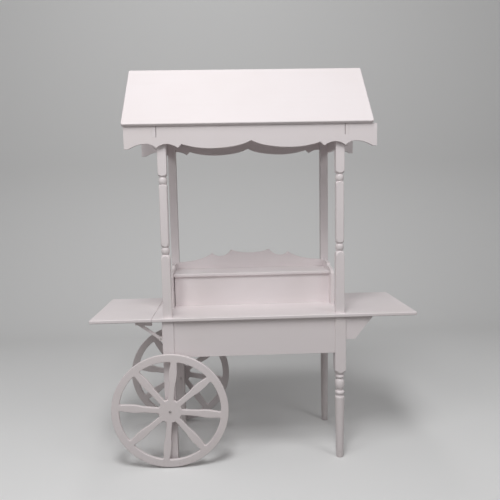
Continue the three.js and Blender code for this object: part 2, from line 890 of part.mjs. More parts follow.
function makeRoof() {
  addPart(cart, 'roof_panel_front', roofPanel(-1), paint);
  addPart(cart, 'roof_panel_rear', roofPanel(1), paint);
  const halfWidth = ridgeRailWidth / 2;
  const low = roofUnderHeight(halfWidth) - ridgeRailDepth;
  const outline = [
    point(-halfWidth, low),
    point(halfWidth, low),
    point(halfWidth, roofUnderHeight(halfWidth) - fitGap),
    point(0, roofUnderHeight(0) - fitGap),
    point(-halfWidth, roofUnderHeight(halfWidth) - fitGap),
  ];
  const rail = standAlong(cutBoard(outline, [], 2 * postFaceX, 0), -postFaceX);
  addPart(cart, 'ridge_rail', rail, shadedPaint);
}

// Wheels: a flat board with eight windows, whose spokes swell towards the rim.

function spokeSide(angle, sign, radius, width) {
  const along = Math.sqrt(radius * radius - width * width / 4);
  const x = along * Math.cos(angle) - sign * (width / 2) * Math.sin(angle);
  const y = along * Math.sin(angle) + sign * (width / 2) * Math.cos(angle);
  return point(x, y);
}

function spokeWindow(from, to) {
  const rim = wheelRadius - wheelRimWidth;
  const belly = wheelHubRadius + (rim - wheelHubRadius) * 0.72;
  const rimCut = rim - spokeFillet;
  const hubCut = wheelHubRadius + spokeFillet;
  const rimCorner = Math.asin(spokeRimWidth / 2 / rim);
  const hubCorner = Math.asin(spokeHubWidth / 2 / wheelHubRadius);
  const rimTurn = spokeFillet / rim;
  const hubTurn = spokeFillet / wheelHubRadius / 3;
  const bellyControl = spokeBellyWidth * 2 - (spokeHubWidth + spokeRimWidth) / 2;
  const side = (angle, sign) => bendPoints(
    spokeSide(angle, sign, hubCut, spokeHubWidth),
    spokeSide(angle, sign, belly, bellyControl),
    spokeSide(angle, sign, rimCut, spokeRimWidth),
    curveSteps,
  );
  const rising = side(from, 1);
  const falling = side(to, -1).reverse();
  const rimArc = arcPoints(0, 0, rim, from + rimCorner + rimTurn, to - rimCorner - rimTurn, curveSteps);
  const hubFrom = to - hubCorner - hubTurn;
  const hubTo = from + hubCorner + hubTurn;
  const hubArc = arcPoints(0, 0, wheelHubRadius, hubFrom, hubTo, filletSteps);
  const fillet = (start, radius, angle, end) => {
    const corner = point(radius * Math.cos(angle), radius * Math.sin(angle));
    return bendPoints(start, corner, end, filletSteps);
  };
  return tidyOutline([
    ...rising,
    ...fillet(rising[rising.length - 1], rim, from + rimCorner, rimArc[0]),
    ...rimArc,
    ...fillet(rimArc[rimArc.length - 1], rim, to - rimCorner, falling[0]),
    ...falling,
    ...fillet(falling[falling.length - 1], wheelHubRadius, to - hubCorner, hubArc[0]),
    ...hubArc,
    ...fillet(hubArc[hubArc.length - 1], wheelHubRadius, from + hubCorner, rising[0]),
  ]);
}

function wheelBoard(turn) {
  const rim = arcPoints(0, 0, wheelRadius, 0, Math.PI * 2, rimSides);
  const windows = [];
  for (let index = 0; index < spokeCount; index += 1) {
    const from = turn + Math.PI / 2 + index * 2 * Math.PI / spokeCount;
    windows.push(spokeWindow(from, from + 2 * Math.PI / spokeCount));
  }
  const boreRadius = boltDiameter / 2 + boltRunningGap;
  windows.push(tidyOutline(arcPoints(0, 0, boreRadius, 0, Math.PI * 2, boltSides)));
  return cutBoard(tidyOutline(rim), windows, boardThickness, 0);
}

// One wheel and its axle, built for the front and turned about Z for the rear.
function makeWheel(name, side, turn) {
  const wheelY = -wheelInnerY - boardThickness;
  const headY = wheelY - boltRunningGap;
  const legInnerY = -legCentreY + legSize / 2;
  const washerBackY = -wheelInnerY + boltRunningGap;
  const spacerFront = washerBackY + washerThickness;
  const bore = boltDiameter / 2 + boltRunningGap;
  const shank = boltDiameter / 2;
  const boltEnd = legInnerY + washerThickness + nutHeight + boltEndLength;
  const headRadius = boltHeadDiameter / 2;
  const headProfile = [
    point(0, 0),
    point(headRadius, 0),
    point(headRadius, boltHeadHeight * 0.4),
    point(headRadius * 0.72, boltHeadHeight * 0.85),
    point(0, boltHeadHeight),
  ];
  const head = new THREE.LatheGeometry(headProfile, boltSides);
  head.rotateZ(Math.PI);
  head.translate(0, headY, 0);
  const bolt = join([barAlongY(shank, 0, headY - boltHeadHeight * 0.4, boltEnd, 0, boltSides), head]);
  const nutCorner = nutWidth / Math.sqrt(3);
  const nutBlank = new THREE.CylinderGeometry(nutCorner, nutCorner, nutHeight, 6);
  nutBlank.translate(0, legInnerY + washerThickness + nutHeight / 2, 0);
  const nutBore = barAlongY(shank + fitGap, 0, legInnerY, boltEnd, 0, boltSides);
  const wheel = standAcross(wheelBoard(turn), boardThickness, wheelY);
  const washer = (y0) => ringAlongY(washerDiameter / 2, bore, 0, y0, y0 + washerThickness, 0, boltSides);
  const spacer = ringAlongY(spacerDiameter / 2, bore, 0, spacerFront, -legFaceY, 0, turnedSides);
  const pieces = [
    [`wheel_${name}`, wheel, side < 0 ? paint : shadedPaint],
    [`axle_bolt_${name}`, bolt, darkSteel],
    [`washer_inner_${name}`, washer(washerBackY), steel],
    [`wheel_spacer_${name}`, spacer, paint],
    [`washer_leg_${name}`, washer(legInnerY), steel],
    [`axle_nut_${name}`, cut(nutBlank, [nutBore]), steel],
  ];
  for (const [part, geometry, look] of pieces) {
    if (side > 0) {
      geometry.rotateZ(Math.PI);
    }
    geometry.translate(-legCentreX, 0, axleHeight);
    addPart(cart, part, geometry, look);
  }
}

makeLegs();
makeAprons();
makeTable();
makeHinges();
makeStays();
makeBrackets();
makePosts();
makeStep();
makeValances();
makeGables();
makeRoof();
makeWheel('front', -1, frontWheelTurn);
makeWheel('rear', 1, -rearWheelTurn);

export default cart;
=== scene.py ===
"""Finishes a painted timber buffet cart: boards, turned posts, cut wheels, paint and steel."""

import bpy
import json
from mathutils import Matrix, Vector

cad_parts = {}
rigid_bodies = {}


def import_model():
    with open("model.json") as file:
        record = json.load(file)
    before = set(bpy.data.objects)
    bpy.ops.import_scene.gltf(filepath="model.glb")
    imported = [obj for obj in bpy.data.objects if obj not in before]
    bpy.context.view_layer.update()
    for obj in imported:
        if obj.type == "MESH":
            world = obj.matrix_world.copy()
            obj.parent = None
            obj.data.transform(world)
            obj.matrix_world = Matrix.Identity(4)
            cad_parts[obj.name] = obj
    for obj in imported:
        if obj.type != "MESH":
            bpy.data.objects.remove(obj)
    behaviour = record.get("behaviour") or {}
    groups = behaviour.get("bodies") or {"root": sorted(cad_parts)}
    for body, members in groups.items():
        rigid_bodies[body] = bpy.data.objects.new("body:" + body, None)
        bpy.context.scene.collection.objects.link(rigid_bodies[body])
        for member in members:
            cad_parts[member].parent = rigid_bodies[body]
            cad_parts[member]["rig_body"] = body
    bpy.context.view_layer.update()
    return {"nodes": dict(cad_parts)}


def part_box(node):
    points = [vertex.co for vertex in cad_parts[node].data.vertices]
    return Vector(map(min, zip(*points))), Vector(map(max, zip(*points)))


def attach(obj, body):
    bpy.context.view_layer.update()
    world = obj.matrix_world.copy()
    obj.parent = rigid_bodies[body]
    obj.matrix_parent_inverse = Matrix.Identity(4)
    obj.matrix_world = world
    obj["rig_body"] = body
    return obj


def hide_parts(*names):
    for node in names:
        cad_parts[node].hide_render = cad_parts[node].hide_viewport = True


bl_info = {
    "name": "Candy buffet cart",
    "version": (1, 0, 0),
    "blender": (4, 5, 0),
    "location": "View3D > Sidebar > Cart",
    "description": "Builds the finished pieces of a painted buffet cart on its frame",
    "category": "Object",
}

import json
import math

import bmesh
import bpy
from bpy.props import FloatProperty, FloatVectorProperty, IntProperty, PointerProperty
from mathutils import Matrix, Vector

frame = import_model()

# Vertices closer than this are one vertex
MERGE_GAP = 0.00001
UNTURNED = UNMOVED = (0.0, 0.0, 0.0)
QUARTER_TURN = math.pi / 2.0


# Sizes and colours that a user would change


def length_property(name, description, default):
    return FloatProperty(
        name=name, description=description, default=default, min=0.0, unit="LENGTH",
    )


def color_property(name, description, default):
    return FloatVectorProperty(
        name=name, description=description, default=(*default, 1.0), subtype="COLOR",
        size=4, min=0.0, max=1.0,
    )


def angle_property(name, description, degrees):
    return FloatProperty(
        name=name, description=description, default=math.radians(degrees), subtype="ANGLE",
    )


def power_property(name, description, default):
    return FloatProperty(
        name=name, description=description, default=default, min=0.0, unit="POWER",
    )


def share_property(name, description, default):
    return FloatProperty(name=name, description=description, default=default, min=0.0, max=1.0)


class CartShapeSettings(bpy.types.PropertyGroup):
    """Rounding and smoothness of the finished pieces"""

    board_edge: length_property("Board edge", "Rounding of the cut edges of boards", 0.0012)
    timber_edge: length_property(
        "Timber edge", "Rounding of the corners of square posts and legs", 0.0016,
    )
    wheel_edge: length_property(
        "Wheel edge", "Rounding of the wheels' rims, spokes and hubs", 0.003,
    )
    eave_corner: length_property(
        "Eave corner", "Rounding of the lower corners of the roof boards", 0.016,
    )
    metal_edge: length_property("Metal edge", "Rounding of hinges, stays and fixings", 0.0003)
    edge_segments: IntProperty(
        name="Edge segments", description="Faces across a rounded edge", default=3, min=1, max=8,
    )
    turning_sides: IntProperty(
        name="Turning sides", description="Faces round a turned post or leg", default=96, min=24,
    )
    curve_steps: IntProperty(
        name="Curve steps", description="Steps along one curve of a cut edge", default=14, min=4,
    )


class CartPaintSettings(bpy.types.PropertyGroup):
    """Colour and finish of the paint"""

    color: color_property("Paint", "Colour of the satin paint", (0.825, 0.765, 0.775))
    shade_color: color_property(
        "Aged paint", "Colour of the paint where it has dulled", (0.76, 0.69, 0.68),
    )
    scuff_color: color_property("Scuffs", "Colour of marks near the floor", (0.32, 0.27, 0.23))
    roughness: share_property("Sheen", "Roughness of the satin paint", 0.42)
    stroke_depth: length_property("Stroke depth", "Depth of the brush strokes", 0.00012)


class CartSteelSettings(bpy.types.PropertyGroup):
    """Colour and finish of the hinges, pins and bolts"""

    color: color_property("Zinc", "Colour of plated steel", (0.56, 0.55, 0.53))
    bolt_color: color_property("Bolt", "Colour of the front axle bolt", (0.36, 0.34, 0.34))
    roughness: share_property("Roughness", "Roughness of plated steel", 0.36)


class CartStageSettings(bpy.types.PropertyGroup):
    """Camera, floor and lamps"""

    camera_place: FloatVectorProperty(
        name="Camera place", description="Place of the camera", subtype="TRANSLATION",
        size=3, default=(-0.1074, -2.8891, 1.4187),
    )
    camera_yaw: angle_property("Camera yaw", "Turn of the camera to the right of +Y", 1.974)
    camera_pitch: angle_property("Camera pitch", "Tilt of the camera above the horizon", -6.351)
    camera_roll: angle_property("Camera roll", "Lean of the camera", -1.142)
    lens: FloatProperty(
        name="Lens", description="Focal length on a 36 mm frame, in millimetres",
        default=37.795, min=1.0,
    )
    floor_color: color_property("Floor", "Colour of the floor and backdrop", (0.86, 0.86, 0.86))
    floor_bounce: color_property(
        "Floor bounce", "Colour of the light that the floor throws back", (0.3, 0.29, 0.28),
    )
    sky_light: FloatProperty(
        name="Ambient light", description="Strength of the even light", default=0.22, min=0.0,
    )
    backdrop_light: FloatProperty(
        name="Backdrop light", description="Brightness of the surroundings where they are seen",
        default=0.58, min=0.0,
    )
    high_light: power_property("High light", "Power of the far lamp high above the front", 98.0)
    key_light: power_property("Key light", "Power of the nearer lamp above the front", 61.0)
    back_light: power_property("Back light", "Power of the lamp behind and above the cart", 26.0)
    left_light: power_property("Left light", "Power of the lamp at the front left", 45.0)
    right_light: power_property("Right light", "Power of the lamp at the front right", 33.0)


def shape_settings():
    return bpy.context.scene.cart_shape


def paint_settings():
    return bpy.context.scene.cart_paint


def steel_settings():
    return bpy.context.scene.cart_steel


def stage_settings():
    return bpy.context.scene.cart_stage


# Shader node groups and materials


SURFACE_OUTPUTS = {"Color": "Color", "Roughness": "Float", "Height": "Float"}


def new_group(name, inputs, outputs):
    """A shader node group with sockets of given kinds, and its two end nodes."""
    group = bpy.data.node_groups.new(name, "ShaderNodeTree")
    for in_out, sockets in (("INPUT", inputs), ("OUTPUT", outputs)):
        for socket_name, kind in sockets.items():
            group.interface.new_socket(
                name=socket_name, in_out=in_out, socket_type=f"NodeSocket{kind}",
            )
    return group, group.nodes.new("NodeGroupInput"), group.nodes.new("NodeGroupOutput")


def set_input(tree, socket, value):
    """Links a node's input to a socket, or sets it to a plain value."""
    if isinstance(value, bpy.types.NodeSocket):
        tree.links.new(value, socket)
    else:
        socket.default_value = value


def add_noise(tree, vector, scale, detail, roughness=0.5):
    """A noise texture on a vector."""
    noise = tree.nodes.new("ShaderNodeTexNoise")
    noise.inputs["Scale"].default_value = scale
    noise.inputs["Detail"].default_value = detail
    noise.inputs["Roughness"].default_value = roughness
    tree.links.new(vector, noise.inputs["Vector"])
    return noise.outputs["Fac"]


def add_math(tree, operation, first, second=None, third=None, clamp=False):
    """A math node whose inputs are sockets or numbers."""
    node = tree.nodes.new("ShaderNodeMath")
    node.operation = operation
    node.use_clamp = clamp
    for index, value in enumerate((first, second, third)):
        if value is not None:
            set_input(tree, node.inputs[index], value)
    return node.outputs[0]


def add_range(tree, value, low, high, to_low=0.0, to_high=1.0):
    """A value stretched from one range to another, smoothly and without overshoot."""
    node = tree.nodes.new("ShaderNodeMapRange")
    node.interpolation_type = "SMOOTHSTEP"
    node.inputs["From Min"].default_value = low
    node.inputs["From Max"].default_value = high
    node.inputs["To Min"].default_value = to_low
    node.inputs["To Max"].default_value = to_high
    tree.links.new(value, node.inputs["Value"])
    return node.outputs["Result"]


def add_mix(tree, factor, first, second):
    """A colour mix whose inputs are sockets or colours."""
    node = tree.nodes.new("ShaderNodeMix")
    node.data_type = "RGBA"
    for index, value in ((0, factor), (6, first), (7, second)):
        set_input(tree, node.inputs[index], value)
    return node.outputs[2]


def add_stretch(tree, vector, scale):
    """A vector scaled along each axis."""
    node = tree.nodes.new("ShaderNodeVectorMath")
    node.operation = "MULTIPLY"
    node.inputs[1].default_value = scale
    tree.links.new(vector, node.inputs[0])
    return node.outputs[0]


def build_satin_paint_group():
    """Brushed satin paint: slow changes of tint, strokes along X, and a fine stipple."""
    inputs = {
        "Vector": "Vector", "Paint": "Color", "Aged Paint": "Color",
        "Ageing": "Float", "Sheen": "Float", "Grain": "Float",
    }
    group, start, end = new_group("satin_paint", inputs, SURFACE_OUTPUTS)
    vector = start.outputs["Vector"]
    along = add_stretch(group, vector, (5.0, 170.0, 170.0))
    fibres = add_stretch(group, vector, (2.2, 46.0, 46.0))
    cloud = add_noise(group, vector, scale=2.4, detail=3.0)
    strokes = add_noise(group, along, scale=1.0, detail=3.0, roughness=0.6)
    grain = add_noise(group, fibres, scale=1.0, detail=5.0, roughness=0.62)
    stipple = add_noise(group, vector, scale=620.0, detail=2.0)
    dull = add_range(group, cloud, low=0.38, high=0.7)
    streak = add_range(group, grain, low=0.46, high=0.78)
    mottled = add_math(group, "MULTIPLY_ADD", streak, 0.35, dull)
    aged = add_math(group, "MULTIPLY", mottled, start.outputs["Ageing"], clamp=True)
    color = add_mix(group, aged, start.outputs["Paint"], start.outputs["Aged Paint"])
    lift = add_range(group, strokes, low=0.3, high=0.7, to_low=-0.05, to_high=0.07)
    rough = add_math(group, "ADD", start.outputs["Sheen"], lift)
    rough = add_math(group, "MULTIPLY_ADD", dull, 0.05, rough)
    grain_height = add_math(group, "MULTIPLY", grain, start.outputs["Grain"])
    height = add_math(group, "MULTIPLY_ADD", strokes, 0.55, grain_height)
    height = add_math(group, "MULTIPLY_ADD", stipple, 0.22, height)
    group.links.new(color, end.inputs["Color"])
    group.links.new(rough, end.inputs["Roughness"])
    group.links.new(height, end.inputs["Height"])


def build_floor_scuff_group():
    """Marks that gather towards the floor, as a mask."""
    inputs = {"Vector": "Vector", "Top": "Float", "Amount": "Float"}
    group, start, end = new_group("floor_scuffs", inputs, {"Mask": "Float"})
    split = group.nodes.new("ShaderNodeSeparateXYZ")
    group.links.new(start.outputs["Vector"], split.inputs[0])
    share = add_math(group, "DIVIDE", split.outputs["Z"], start.outputs["Top"])
    low = add_math(group, "SUBTRACT", 1.0, share, clamp=True)
    low = add_math(group, "POWER", low, 2.0)
    cloud = add_noise(group, start.outputs["Vector"], scale=34.0, detail=6.0, roughness=0.66)
    dots = add_noise(group, start.outputs["Vector"], scale=210.0, detail=3.0)
    smudge = add_range(group, cloud, low=0.5, high=0.74)
    speck = add_range(group, dots, low=0.62, high=0.7)
    mark = add_math(group, "MULTIPLY_ADD", speck, 0.8, smudge)
    mask = add_math(group, "MULTIPLY", mark, low)
    mask = add_math(group, "MULTIPLY", mask, start.outputs["Amount"], clamp=True)
    group.links.new(mask, end.inputs["Mask"])


def build_plated_steel_group():
    """Plated steel: a faint mottle in its colour and roughness, and fine rolling marks."""
    inputs = {"Vector": "Vector", "Metal": "Color", "Roughness": "Float"}
    group, start, end = new_group("plated_steel", inputs, SURFACE_OUTPUTS)
    vector = start.outputs["Vector"]
    along = add_stretch(group, vector, (60.0, 1500.0, 1500.0))
    mottle = add_noise(group, vector, scale=90.0, detail=4.0, roughness=0.6)
    rolling = add_noise(group, along, scale=1.0, detail=2.0)
    shift = add_range(group, mottle, low=0.3, high=0.75, to_high=0.45)
    color = add_mix(group, shift, start.outputs["Metal"], (0.3, 0.28, 0.26, 1.0))
    rough = add_math(group, "MULTIPLY_ADD", shift, 0.3, start.outputs["Roughness"])
    group.links.new(color, end.inputs["Color"])
    group.links.new(rough, end.inputs["Roughness"])
    group.links.new(rolling, end.inputs["Height"])


def new_material(name):
    """An empty node material, its shader and a socket of object coordinates."""
    material = bpy.data.materials.new(name)
    material.use_nodes = True
    tree = material.node_tree
    tree.nodes.clear()
    output = tree.nodes.new("ShaderNodeOutputMaterial")
    shader = tree.nodes.new("ShaderNodeBsdfPrincipled")
    place = tree.nodes.new("ShaderNodeTexCoord")
    tree.links.new(shader.outputs[0], output.inputs[0])
    return material, tree, shader, place.outputs["Object"]


def add_bump(tree, shader, height, distance, strength):
    bump = tree.nodes.new("ShaderNodeBump")
    bump.inputs["Distance"].default_value = distance
    bump.inputs["Strength"].default_value = strength
    tree.links.new(height, bump.inputs["Height"])
    tree.links.new(bump.outputs[0], shader.inputs["Normal"])


def add_turn(tree, vector, rotation, offset):
    """Object coordinates turned to run along a piece, and moved for each finish."""
    mapping = tree.nodes.new("ShaderNodeMapping")
    mapping.inputs["Rotation"].default_value = rotation
    mapping.inputs["Location"].default_value = offset
    tree.links.new(vector, mapping.inputs["Vector"])
    return mapping.outputs[0]


def place_group(tree, group, values):
    """A group node with its inputs set to sockets or plain values."""
    node = tree.nodes.new("ShaderNodeGroup")
    node.node_tree = group
    for name, value in values.items():
        set_input(tree, node.inputs[name], value)
    return node


# Share of the floor's marks that shows, and what they add to the roughness
SCUFF_AMOUNT = 0.35
SCUFF_ROUGHNESS = 0.25

# Depth of the rolling marks on steel, and how much rougher the axle bolt is than plated steel
ROLLING_DEPTH = 0.00004
BOLT_DULLING = 0.06


def build_paint(name, rotation, offset, ageing, grain, scuff_top):
    """One painted finish: satin paint with its strokes turned along the piece."""
    paint = paint_settings()
    tree, shader, vector = new_material(name)[1:]
    surface = place_group(tree, bpy.data.node_groups["satin_paint"], {
        "Vector": add_turn(tree, vector, rotation, offset),
        "Paint": tuple(paint.color),
        "Aged Paint": tuple(paint.shade_color),
        "Ageing": ageing,
        "Sheen": paint.roughness,
        "Grain": grain,
    })
    color = surface.outputs["Color"]
    rough = surface.outputs["Roughness"]
    if scuff_top > 0.0:
        scuffs = place_group(tree, bpy.data.node_groups["floor_scuffs"], {
            "Vector": vector,
            "Top": scuff_top,
            "Amount": SCUFF_AMOUNT,
        })
        color = add_mix(tree, scuffs.outputs["Mask"], color, tuple(paint.scuff_color))
        rough = add_math(
            tree, "MULTIPLY_ADD", scuffs.outputs["Mask"], SCUFF_ROUGHNESS, rough,
        )
    tree.links.new(color, shader.inputs["Base Color"])
    tree.links.new(rough, shader.inputs["Roughness"])
    add_bump(tree, shader, surface.outputs["Height"], paint.stroke_depth, strength=1.0)


def build_steel(name, color, roughness):
    tree, shader, vector = new_material(name)[1:]
    surface = place_group(tree, bpy.data.node_groups["plated_steel"], {
        "Vector": vector,
        "Metal": tuple(color),
        "Roughness": roughness,
    })
    shader.inputs["Metallic"].default_value = 1.0
    tree.links.new(surface.outputs["Color"], shader.inputs["Base Color"])
    tree.links.new(surface.outputs["Roughness"], shader.inputs["Roughness"])
    add_bump(tree, shader, surface.outputs["Height"], ROLLING_DEPTH, strength=0.6)


# Meshes


def node_body(node):
    return frame["nodes"][node]["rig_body"]


def link_piece(name, mesh, material, body, slot, nodes=()):
    """Links a finished mesh as a piece that rides on a body and stands for its nodes."""
    mesh.materials.clear()
    mesh.materials.append(bpy.data.materials[material])
    piece = bpy.data.objects.new(name, mesh)
    bpy.context.scene.collection.objects.link(piece)
    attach(piece, body)
    if nodes:
        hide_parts(*nodes)
    return piece


def smooth_by_angle(mesh, angle=40.0):
    mesh.shade_smooth()
    mesh.set_sharp_from_angle(angle=math.radians(angle))


def keep_flats(piece):
    """Lets the large faces set the shading, so that flats stay flat up to their rounded edges."""
    weighted = piece.modifiers.new("flat_faces", "WEIGHTED_NORMAL")
    weighted.keep_sharp = True
    weighted.weight = 60


def link_flat_piece(*details):
    """Links a finished mesh as link_piece does, and keeps its flat faces flat."""
    keep_flats(link_piece(*details))


def round_edges(bm, edges, radius, segments, clamp=True):
    bmesh.ops.bevel(
        bm, geom=edges, offset=radius, offset_type="OFFSET", affect="EDGES",
        segments=segments, profile=0.5, material=-1, clamp_overlap=clamp,
    )


def round_sharp_edges(bm, radius, limit=30.0):
    """Rounds the edges whose faces meet at more than a limit in degrees."""
    edges = [
        edge for edge in bm.edges
        if edge.is_manifold and edge.calc_face_angle() > math.radians(limit)
    ]
    if edges and radius > 0.0:
        round_edges(bm, edges, radius, shape_settings().edge_segments)


def put_in_order(elements, key):
    """Sorts the points or faces of a mesh, which operators leave in another order in each run."""
    ranks = {element: rank for rank, element in enumerate(sorted(elements, key=key))}
    elements.sort(key=lambda element: ranks[element])
    elements.index_update()


def mesh_from_bmesh(name, bm):
    put_in_order(bm.verts, lambda vert: vert.co[:])
    put_in_order(bm.faces, lambda face: sorted(vert.index for vert in face.verts))
    mesh = bpy.data.meshes.new(name)
    bm.to_mesh(mesh)
    bm.free()
    smooth_by_angle(mesh)
    return mesh


def round_low_corners(bm, radius, depth):
    """Rounds the two upright corners at the low edge of a sloping board of this depth."""
    slack = 0.0001
    ends = [max(vert.co.x for vert in bm.verts), min(vert.co.x for vert in bm.verts)]
    lowest = min(vert.co.z for vert in bm.verts)
    corners = [
        edge for edge in bm.edges
        if all(vert.co.z < lowest + depth for vert in edge.verts)
        and any(all(abs(vert.co.x - end) < slack for vert in edge.verts) for end in ends)
    ]
    round_edges(bm, corners, radius, shape_settings().edge_segments * 2, clamp=False)


def soften_node(node, width, material, slot, shape=None):
    """Stands for a node with a copy whose flat faces are whole and whose edges are rounded."""
    bm = bmesh.new()
    bm.from_mesh(frame["nodes"][node].data)
    bmesh.ops.remove_doubles(bm, verts=bm.verts, dist=MERGE_GAP)
    bmesh.ops.dissolve_limit(
        bm, angle_limit=math.radians(0.6), verts=bm.verts, edges=bm.edges, delimit=set(),
    )
    if shape is not None:
        shape(bm)
    round_sharp_edges(bm, width)
    name = f"{node}_finished"
    link_flat_piece(name, mesh_from_bmesh(name, bm), material, node_body(node), slot, (node,))


def spot(x, y):
    return Vector((x, y))


def bend(start, control, end, steps=None):
    """Points on a quadratic curve, from its start to its end."""
    steps = steps or shape_settings().curve_steps
    points = []
    for step in range(steps + 1):
        share = step / steps
        points.append(
            start * (1.0 - share) ** 2 + control * 2.0 * share * (1.0 - share) + end * share ** 2
        )
    return points


def arc(centre, radius, start, end, steps):
    points = []
    for step in range(steps + 1):
        angle = start + (end - start) * step / steps
        points.append(centre + spot(math.cos(angle), math.sin(angle)) * radius)
    return points


def without_repeats(points, gap=0.00002):
    kept = []
    for point in points:
        if not kept or (point - kept[-1]).length > gap:
            kept.append(point)
    if (kept[0] - kept[-1]).length < gap:
        kept.pop()
    return kept


def flat_place(point):
    """Where a point lies in XY, rounded so that it can be looked up."""
    return round(point.x, 6), round(point.y, 6)


def moved_verts(result):
    return [item for item in result["geom"] if isinstance(item, bmesh.types.BMVert)]


def cut_board_mesh(name, loops, thickness, edge, place):
    """A board from an outline and its holes: filled, thickened, and rounded along its cut edges.

    The outline lies in XY and the thickness runs up Z, until place moves it. Holes too narrow for
    the rounding keep their sharp edges.
    """
    bm = bmesh.new()
    narrowest = edge * 4.0
    cut_angle = math.radians(80.0)
    narrow = {
        flat_place(point)
        for loop in loops if max((point - loop[0]).length for point in loop) < narrowest
        for point in loop
    }
    outline = []
    for loop in loops:
        verts = [bm.verts.new((point.x, point.y, 0.0)) for point in without_repeats(loop)]
        outline += [bm.edges.new(pair) for pair in zip(verts, verts[1:] + verts[:1])]
    bmesh.ops.triangle_fill(bm, use_beauty=True, use_dissolve=False, edges=outline)
    bmesh.ops.recalc_face_normals(bm, faces=bm.faces)
    if bm.faces[0].normal.z > 0.0:
        bmesh.ops.reverse_faces(bm, faces=bm.faces)
    raised = bmesh.ops.extrude_face_region(bm, geom=bm.faces[:])
    bmesh.ops.translate(bm, verts=moved_verts(raised), vec=(0.0, 0.0, thickness))
    bmesh.ops.recalc_face_normals(bm, faces=bm.faces)
    rims = [
        item for item in bm.edges
        if item.is_manifold and abs(item.verts[0].co.z - item.verts[1].co.z) < MERGE_GAP
        and item.calc_face_angle() > cut_angle
        and flat_place(item.verts[0].co) not in narrow
    ]
    if edge > 0.0:
        round_edges(bm, rims, edge, shape_settings().edge_segments)
    bmesh.ops.transform(bm, matrix=place, verts=bm.verts)
    return mesh_from_bmesh(name, bm)


def standing_across(near):
    """Stands a flat board up with its outline in X and Z and its front face at near."""
    return Matrix((
        (1.0, 0.0, 0.0, 0.0),
        (0.0, 0.0, 1.0, near),
        (0.0, 1.0, 0.0, 0.0),
        (0.0, 0.0, 0.0, 1.0),
    ))


def turned_mesh(name, profile, blanks, arris, centre):
    """A turned piece: a profile spun round Z, then squared to the timber that it was cut from.

    Where the profile is wider than the timber, the spun rings are drawn in to its flat faces, so
    square lengths, round lengths and the shoulders between them come out of one cut.
    """
    bm = bmesh.new()
    slack = 0.000001
    widest = max(half for low, high, half in blanks) * math.sqrt(2.0) - arris
    verts = [bm.verts.new((min(point.x, widest), 0.0, point.y)) for point in profile]
    edges = [bm.edges.new(pair) for pair in zip(verts, verts[1:])]
    bmesh.ops.spin(
        bm, geom=verts + edges, cent=(0.0, 0.0, 0.0), axis=(0.0, 0.0, 1.0), dvec=(0.0, 0.0, 0.0),
        angle=math.tau, steps=shape_settings().turning_sides, use_merge=True, use_duplicate=False,
    )
    bmesh.ops.remove_doubles(bm, verts=bm.verts, dist=MERGE_GAP)
    for vert in bm.verts:
        for low, high, half in blanks:
            if low - slack <= vert.co.z <= high + slack:
                reach = half * math.sqrt(2.0) - arris
                across = spot(vert.co.x, vert.co.y)
                if across.length > reach:
                    across *= reach / across.length
                vert.co.x = max(-half, min(half, across.x))
                vert.co.y = max(-half, min(half, across.y))
                break
    bmesh.ops.recalc_face_normals(bm, faces=bm.faces)
    bmesh.ops.translate(bm, verts=bm.verts, vec=centre)
    return mesh_from_bmesh(name, bm)


# Posts and legs

# Lengths along a turned post: its lower square, the ball above it, the shaft, and the ball below
# the cup
POST_SQUARE = 0.309
POST_LOW_BALL = 0.055
POST_SHAFT = 0.309
POST_HIGH_BALL = 0.042

# Half the width of the shaft's flats, and how far the corners of posts and legs are drawn in
POST_SHAFT_HALF = 0.0205
POST_ARRIS = 0.0011
LEG_ARRIS = 0.0014

FOOT = 0.019
FOOT_ROUND = 0.005


def post_profile(low, high, half):
    """Profile of a turned post, from the table up: radius and height."""
    square_top = low + POST_SQUARE
    shaft_low = square_top + POST_LOW_BALL
    shaft_high = shaft_low + POST_SHAFT
    cup = shaft_high + POST_HIGH_BALL
    shaft = 0.026
    neck = 0.0198
    ball = 0.0215
    ball_neck = 0.0162
    groove = 0.0155
    return [
        spot(0.0, low),
        spot(half * 2.0, low),
        spot(half * 2.0, square_top - 0.014),
        *bend(
            spot(half * 1.36, square_top - 0.012),
            spot(half * 1.16, square_top + 0.004),
            spot(neck, square_top + 0.01),
        ),
        spot(groove, square_top + 0.0115),
        spot(groove, square_top + 0.0145),
        *round_bead(square_top + 0.0155, square_top + 0.05, ball_neck, ball),
        spot(groove, square_top + 0.0505),
        spot(groove, shaft_low - 0.0015),
        *bend(
            spot(neck, shaft_low),
            spot(shaft * 0.98, shaft_low + 0.004),
            spot(shaft, shaft_low + 0.022),
        ),
        *bend(
            spot(shaft, shaft_high - 0.022),
            spot(shaft * 0.98, shaft_high - 0.003),
            spot(neck, shaft_high),
        ),
        spot(groove, shaft_high + 0.001),
        *round_bead(shaft_high + 0.0025, shaft_high + 0.038, ball_neck, ball),
        spot(groove, shaft_high + 0.0385),
        *bend(
            spot(groove, cup),
            spot(half * 1.37, cup + 0.002),
            spot(half * 1.43, cup + 0.026),
        ),
        spot(half * 2.0, cup + 0.031),
        spot(half * 2.0, high),
        spot(0.0, high),
    ]


def round_bead(low, high, neck, ball):
    """A bead between two heights, from its neck out to its full radius and back."""
    middle = (low + high) / 2.0
    swell = (middle - low) * 0.3
    return [
        *bend(spot(neck, low), spot(ball, low + swell), spot(ball, middle)),
        *bend(spot(ball, middle), spot(ball, high - swell), spot(neck, high))[1:],
    ]


def foot_profile():
    """The rounded foot of a leg, from the middle of its sole."""
    edge = bend(spot(FOOT - FOOT_ROUND, 0.0), spot(FOOT, 0.0), spot(FOOT, FOOT_ROUND))
    return [spot(0.0, 0.0), *edge]


